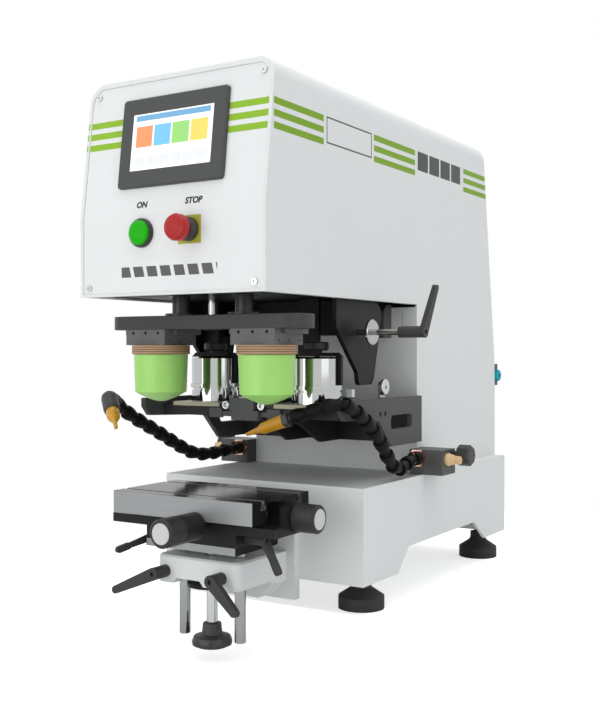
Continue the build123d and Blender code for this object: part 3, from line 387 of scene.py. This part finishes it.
bezel_plastic = plain_plastic("bezel plastic", (0.078, 0.08, 0.08), 0.45, 2600, 0.1, 0.05, shine=0.2)
collar_plastic = plain_plastic("dark collar plastic", (0.045, 0.042, 0.042), 0.34, 2600, 0.06)
rubber = plain_plastic("black rubber feet", (0.042, 0.039, 0.037), 0.6, 900, 0.15, shine=0.25)
red_plastic = plain_plastic("red mushroom", (0.43, 0.022, 0.024), 0.32, 1500, 0.03, shine=0.2)
yellow_plastic = plain_plastic("yellow stop plate", (0.42, 0.40, 0.035), 0.42, 1500, 0.06)
green_plastic = plain_plastic("green lens", (0.012, 0.46, 0.004), 0.3, 1500, 0.03, shine=0.12)
tan_plastic = plain_plastic("tan flow knob", (0.80, 0.55, 0.30), 0.45, 1500, 0.08)
cliche_face = plain_plastic("printing plate", (0.50, 0.46, 0.33), 0.25, 900, 0.02)
copper = ground_metal("copper fitting", (0.72, 0.42, 0.33), 0.25, (300, 300, 300))
satin_steel = ground_metal("satin steel", (0.62, 0.63, 0.63), 0.28, (700, 14, 700))
chrome = polished("hard chrome", (0.42, 0.425, 0.43), 0.1)
mirror_steel = polished("lapped steel", (0.50, 0.51, 0.51), 0.06)
cap_grey = plain_plastic("light knob cap", (0.62, 0.62, 0.62), 0.4, 1500, 0.04, 0.04)


def dark_ended_metal(name, end, top):
    """Ground front faces, with black ends at x = end, painted shade where the ends sit in shadow, and a
    black, smooth top face.
    """
    finish = Finish(name)
    lines = finish.noise(1, 4, 0.7, finish.scaled(12, 900, 900))
    tone = finish.mix(lines, (0.30, 0.305, 0.31), (0.38, 0.385, 0.39))
    # The black ends are painted shade; the top face is plain black.
    black = (finish.z > top - 0.0002).either(abs(finish.x) > end - 0.0007)
    dark = finish.mix(lines, (0.010, 0.010, 0.010), (0.016, 0.016, 0.016))
    finish.set(colour=finish.mix(black, tone, dark),
               metallic=0.55 - black * 0.55, roughness=(0.34 - black * 0.26) + lines * 0.05, specular=0.06)
    finish.bump(lines, 0.03, 0.0002)
    return finish


def inlet_plastic():
    """A dark block with a cyan push-in ring on its right side."""
    finish = plain_plastic("air inlet", (0.09, 0.09, 0.09), 0.45, 1500, 0.08, shine=0.2)
    cloud = finish.noise(40, 3)
    ring = finish.x > 0.17602
    finish.set(colour=finish.mix(ring, finish.mix(cloud, (0.085, 0.085, 0.085), (0.1, 0.1, 0.1)),
                                 finish.mix(cloud, (0.004, 0.34, 0.45), (0.006, 0.38, 0.50))))
    return finish


FINISHES = {
    "base": white_coat, "knee": white_coat, "housing": housing_paint(), "front_panel": panel_paint(),
    "feet": rubber, "panel_screws": satin_steel, "screen_bezel": bezel_plastic, "screen_glass": screen_face(),
    "button_collars": collar_plastic, "stop_plate": yellow_plastic, "start_lens": green_plastic,
    "stop_mushroom": red_plastic, "deck_and_rails": black_oxide, "hanger_plates": black_oxide,
    "cross_shaft": chrome, "shaft_lever": lever_plastic, "bed": bed_coat, "bed_sides": side_coat,
    "printing_plates": cliche_face, "plate_clamp": clamp_coat, "clamp_screws": satin_steel,
    "lift_nut": black_oxide,
    "lift_plate": dark_ended_metal("lift plate metal", 0.0875, 0.1345), "lift_rods": chrome,
    "lift_screw": screw_and_wheel(), "lower_slide": saddle_coat, "saddle": saddle_coat,
    "table_top": dark_ended_metal("cross table metal", 0.1355, 0.2095), "y_knob": knob_plastic,
    "x_knob": knob_plastic,
    "knee_lever_left": lever_plastic, "knee_lever_right": lever_plastic, "slide_lever_left": lever_plastic,
    "slide_lever_right": lever_plastic, "carriage_plate": black_oxide, "runner_blocks": satin_steel,
    "guide_bushes": rod_coat, "stroke_cylinder": satin_steel, "pad_bar": bar_coat, "guide_rods": rod_coat,
    "piston_rod": chrome, "pad_holders": holder_coat, "pad_bases": banded_wood(), "pads": silicone(),
    "cup_arms": black_oxide, "cup_brackets": black_oxide, "cups": mirror_steel, "cup_frame": mirror_steel,
    "cup_knob_left": knob_plastic, "cup_knob_right": knob_plastic, "air_blocks": block_coat,
    "hose_fittings": copper, "flow_knob_left": tan_plastic, "flow_knob_right": tan_plastic,
    "air_elbows": elbow_plastic, "hoses": hose_plastic, "elbow_left": elbow_plastic,
    "nozzle_right": nozzle_plastic("orange nozzle with dark collar", True),
    "nozzle_left": nozzle_plastic("orange nozzle"), "air_inlet": inlet_plastic(),
}
for name, node in NODES.items():
    node.data.materials.clear()
    node.data.materials.append(FINISHES[name].material)


# New pieces

def finished(name, shape, finish, body):
    """Makes the object of a finished bmesh, gives it its finish and lets it ride on its body."""
    bmesh.ops.remove_doubles(shape, verts=shape.verts, dist=0.000005)
    bmesh.ops.recalc_face_normals(shape, faces=shape.faces)
    mesh = bpy.data.meshes.new(name)
    shape.to_mesh(mesh)
    shape.free()
    piece = bpy.data.objects.new(name, mesh)
    bpy.context.scene.collection.objects.link(piece)
    mesh.materials.append(finish.material)
    mesh.shade_smooth()
    mesh.set_sharp_from_angle(angle=math.radians(35))
    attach(piece, body)
    return piece


def turn_to(origin, way):
    """The move that puts a shape made about +Z on a line from origin along way, in millimetres."""
    spin = Vector((0, 0, 1)).rotation_difference(Vector(way).normalized()).to_matrix().to_4x4()
    return Matrix.Translation(Vector(origin) * MM) @ spin


def spun(shape, profile, steps=64):
    """Turns (radius, height) points, in millimetres, about +Z."""
    start = [shape.verts.new((r * MM, 0, h * MM)) for r, h in profile]
    edges = [shape.edges.new(pair) for pair in zip(start, start[1:])]
    bmesh.ops.spin(shape, geom=start + edges, cent=(0, 0, 0), axis=(0, 0, 1), dvec=(0, 0, 0),
                   angle=math.tau, steps=steps, use_merge=True, use_normal_flip=False,
                   use_duplicate=False)
    bmesh.ops.remove_doubles(shape, verts=shape.verts, dist=0.000002)


def turned_piece(name, profile, origin, way, finish, body):
    """A closed turned form on a line from origin along way."""
    shape = bmesh.new()
    spun(shape, profile)
    bmesh.ops.transform(shape, matrix=turn_to(origin, way), verts=shape.verts)
    return finished(name, shape, finish, body)


def lettering(name, words, centre, size, finish, body):
    """Flat raised letters on the front panel, in millimetres."""
    curve = bpy.data.curves.new(name, "FONT")
    curve.body = words
    curve.size = size * MM
    curve.align_x = "CENTER"
    curve.align_y = "CENTER"
    curve.extrude = 0.00008
    curve.offset = 0.0006
    curve.shear = 0.18
    maker = bpy.data.objects.new(name + "_outline", curve)
    bpy.context.scene.collection.objects.link(maker)
    bpy.context.view_layer.update()
    mesh = bpy.data.meshes.new_from_object(maker)
    bpy.data.objects.remove(maker)
    lean = Matrix.Rotation(math.radians(90 - PANEL_LEAN), 4, "X")
    mesh.transform(Matrix.Translation(Vector(centre) * MM) @ lean)
    piece = bpy.data.objects.new(name, mesh)
    bpy.context.scene.collection.objects.link(piece)
    mesh.materials.clear()
    mesh.materials.append(finish.material)
    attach(piece, body)
    return piece


# Lettering above the buttons: the panel's face leans back from LEAN_START, 27 mm over its 217.5 mm height

PANEL_LEAN = 7.06
PANEL_FACE = -573.0
LETTER_SIZE = 13
LETTER_Z = 657.0
LETTER_Y = PANEL_FACE + 27.0 * (LETTER_Z - 643.0) / 217.5 - 0.12
ink = plain_plastic("printed ink", (0.03, 0.03, 0.03), 0.5, 1500, 0.02)
lettering("letters_on", "ON", (-53, LETTER_Y, LETTER_Z), LETTER_SIZE, ink, "frame")
lettering("letters_stop", "STOP", (47, LETTER_Y, LETTER_Z), LETTER_SIZE, ink, "frame")

# Light caps on the two slide knobs

CAP = [(0, 0), (15.6, 0), (15.8, 0.4), (15.8, 1.1), (15.2, 1.6), (0, 1.6)]
turned_piece("y_knob_cap", CAP, (29.5, -625.1, 167), (0, -1, 0), cap_grey, "y_knob")
turned_piece("x_knob_cap", CAP, (197.6, -458.5, 179.5), (1, 0, 0), cap_grey, "x_knob")

# Stage, light and camera

def stage_finish(name, colour, fade_from, fade_to):
    """Pale backdrop: white to the camera, with soft shadows, fading to plain white further out."""
    finish = Finish(name)
    rays = finish.node("ShaderNodeLightPath")
    cloud = finish.noise(3, 2)
    tone = finish.mix(cloud, shade(colour, 0.99), shade(colour, 1.01))
    finish.set(colour=tone, roughness=0.8, specular=0.0)
    lift = finish.node("ShaderNodeEmission", {}, {"Color": (1, 1, 1, 1), "Strength": STAGE_LIFT})
    plain = finish.node("ShaderNodeEmission", {}, {"Color": (1, 1, 1, 1), "Strength": 1.0})
    near = finish.node("ShaderNodeAddShader", {}, {0: finish.shader.outputs[0], 1: lift.outputs[0]})
    reach = (finish.x * finish.x + finish.y * finish.y) ** 0.5
    far = ((reach - fade_from) / (fade_to - fade_from)).either(0.0).capped(1.0)
    seen = finish.node("ShaderNodeMixShader", {}, {0: far, 1: near.outputs[0], 2: plain.outputs[0]})
    choose = finish.node("ShaderNodeMixShader", {}, {0: rays.outputs["Is Camera Ray"],
                                                     1: finish.shader.outputs[0], 2: seen.outputs[0]})
    out = finish.tree.nodes["Material Output"]
    finish.tree.links.new(choose.outputs[0], out.inputs["Surface"])
    return finish


def stage_box(name, low, high, finish):
    shape = bmesh.new()
    bmesh.ops.create_cube(shape, size=1)
    size = Vector(high) - Vector(low)
    bmesh.ops.scale(shape, vec=size, verts=shape.verts)
    bmesh.ops.translate(shape, vec=(Vector(high) + Vector(low)) / 2, verts=shape.verts)
    mesh = bpy.data.meshes.new(name)
    shape.to_mesh(mesh)
    shape.free()
    thing = bpy.data.objects.new(name, mesh)
    bpy.context.scene.collection.objects.link(thing)
    mesh.materials.append(finish.material)
    return thing


STAGE_LIFT = 0.62
pale = stage_finish("pale floor", (0.9, 0.9, 0.9), 0.45, 1.1)
stage_box("floor", (-6, -6, -0.09), (6, 6, -0.06), pale)
stage_box("bench", (-0.6, -0.312, -0.06), (0.6, 0.9, 0.0), pale)

def studio_world(strength):
    """Soft, faintly cool surroundings that the camera, gloss and glass see as white."""
    world = bpy.data.worlds.new("studio")
    bpy.context.scene.world = world
    world.use_nodes = True
    tree = world.node_tree
    tree.nodes.clear()
    rays = tree.nodes.new("ShaderNodeLightPath")
    dim = tree.nodes.new("ShaderNodeBackground")
    dim.inputs["Color"].default_value = (0.95, 0.985, 1.0, 1)
    dim.inputs["Strength"].default_value = strength
    bright = tree.nodes.new("ShaderNodeBackground")
    bright.inputs["Color"].default_value = (1, 1, 1, 1)
    bright.inputs["Strength"].default_value = 1.0
    white = rays.outputs["Is Camera Ray"]
    for kind in ("Is Transmission Ray", "Is Glossy Ray"):
        either = tree.nodes.new("ShaderNodeMath")
        either.operation = "MAXIMUM"
        tree.links.new(white, either.inputs[0])
        tree.links.new(rays.outputs[kind], either.inputs[1])
        white = either.outputs[0]
    blend = tree.nodes.new("ShaderNodeMixShader")
    out = tree.nodes.new("ShaderNodeOutputWorld")
    tree.links.new(white, blend.inputs[0])
    tree.links.new(dim.outputs[0], blend.inputs[1])
    tree.links.new(bright.outputs[0], blend.inputs[2])
    tree.links.new(blend.outputs[0], out.inputs[0])


studio_world(0.62)


def softbox(name, place, aim, width, height, watts):
    """A rectangular lamp that faces the aim point."""
    lamp = bpy.data.lights.new(name, "AREA")
    lamp.shape = "RECTANGLE"
    lamp.size = width
    lamp.size_y = height
    lamp.energy = watts
    thing = bpy.data.objects.new(name, lamp)
    bpy.context.scene.collection.objects.link(thing)
    thing.location = place
    thing.rotation_euler = (Vector(aim) - Vector(place)).to_track_quat("-Z", "Y").to_euler()
    return thing


softbox("front_box", (-0.5, -3.1, 0.42), (0, -0.2, 0.42), 2.2, 0.8, 12)
softbox("upper_box", (-1.2, -2.8, 1.5), (0, -0.2, 0.4), 1.8, 1.2, 7)
softbox("top_box", (0.2, -0.3, 2.9), (0, 0, 0.4), 2.4, 2.4, 34)
softbox("right_box", (2.7, -1.3, 1.0), (0, 0, 0.35), 1.8, 1.4, 6)

# The photograph's frame height and the camera's focal length, in pixels

PHOTO_HEIGHT = 706
FOCAL = 1018.0
SENSOR = 36
camera_data = bpy.data.cameras.new("photo_camera")
camera_data.sensor_fit = "VERTICAL"
camera_data.sensor_height = SENSOR
camera_data.lens = SENSOR * FOCAL / PHOTO_HEIGHT
camera = bpy.data.objects.new("photo_camera", camera_data)
bpy.context.scene.collection.objects.link(camera)
camera.location = (0.98315, -1.77033, 0.43275)
camera.rotation_euler = (math.radians(90 - 0.1126), 0, math.radians(32))
bpy.context.scene.camera = camera
bpy.context.scene.view_settings.view_transform = "Standard"
